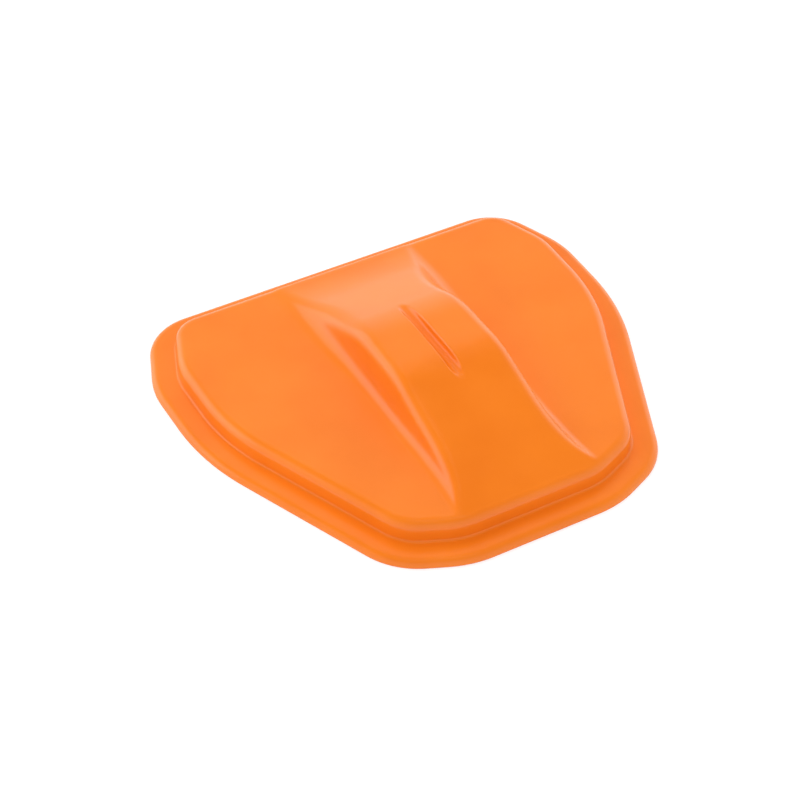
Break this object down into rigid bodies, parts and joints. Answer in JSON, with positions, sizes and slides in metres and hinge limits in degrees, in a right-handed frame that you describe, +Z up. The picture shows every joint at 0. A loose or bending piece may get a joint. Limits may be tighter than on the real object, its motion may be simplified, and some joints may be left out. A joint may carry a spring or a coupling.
{
  "type": "air filter housing",
  "caption": "Low air filter housing with a lift-off ribbed cover over a foam filter element, held by a wire bail on a mounting tray.",
  "frame": {"origin": "on the ground under the middle of the cover's length and width", "axes": "+X across the housing, +Y towards its long back edge, +Z up out of the cover"},
  "size_m": [0.2192, 0.2014, 0.0355],
  "materials": {
    "cover_plastic": "glossy moulded orange",
    "seal_foam": "closed-cell foam",
    "tray_plastic": "fine-grained black",
    "ring_aluminium": "turned",
    "gasket_rubber": "moulded rubber",
    "sleeve_steel": "zinc plated",
    "grille_plastic": "moulded",
    "screw_steel": "zinc plated",
    "spring_steel": "spring steel",
    "bracket_steel": "zinc plated",
    "pin_steel": "ground",
    "frame_plastic": "moulded",
    "screen_steel": "woven mesh",
    "fine_foam": "open-cell foam",
    "coarse_foam": "open-cell foam",
    "wire_steel": "bright drawn",
    "saddle_plastic": "moulded"
  },
  "bodies": {
    "base": {"base_tray": "tray_plastic", "outlet_ring": "ring_aluminium", "outlet_gasket": "gasket_rubber", "mounting_sleeves": "sleeve_steel", "inlet_grille_left": "grille_plastic", "inlet_grille_right": "grille_plastic", "grille_screws": "screw_steel", "cover_clips": "spring_steel", "clip_screws": "screw_steel", "bail_bracket": "bracket_steel", "bracket_screws": "screw_steel", "pivot_pin": "pin_steel", "pin_clip": "spring_steel", "bail_catch": "bracket_steel", "catch_screws": "screw_steel"},
    "cover": {"cover_shell": "cover_plastic", "flange_seal": "seal_foam"},
    "element": {"element_frame": "frame_plastic", "element_seal": "gasket_rubber", "support_cage": "frame_plastic", "flame_screen": "screen_steel", "fine_foam": "fine_foam", "coarse_foam": "coarse_foam"},
    "bail": {"retaining_bail": "wire_steel", "bail_saddle": "saddle_plastic"}
  },
  "joints": [
    {"name": "cover_lift", "type": "slide", "parent": "base", "child": "cover", "axis": [0, 0, 1], "range_m": [0, 0.2]},
    {"name": "bail_swing", "type": "hinge", "parent": "base", "child": "bail", "pos_m": [0, 0.076, 0.0066], "axis": [-1, 0, 0], "range_deg": [0, 70]},
    {"name": "element_tilt", "type": "hinge", "parent": "base", "child": "element", "pos_m": [0, 0.076, 0.0066], "axis": [-1, 0, 0], "range_deg": [0, 36]}
  ],
  "couplings": [
    {"joint": "bail_swing", "follows": "cover_lift", "rad_per_m": 5.9},
    {"joint": "element_tilt", "follows": "cover_lift", "rad_per_m": 3}
  ]
}
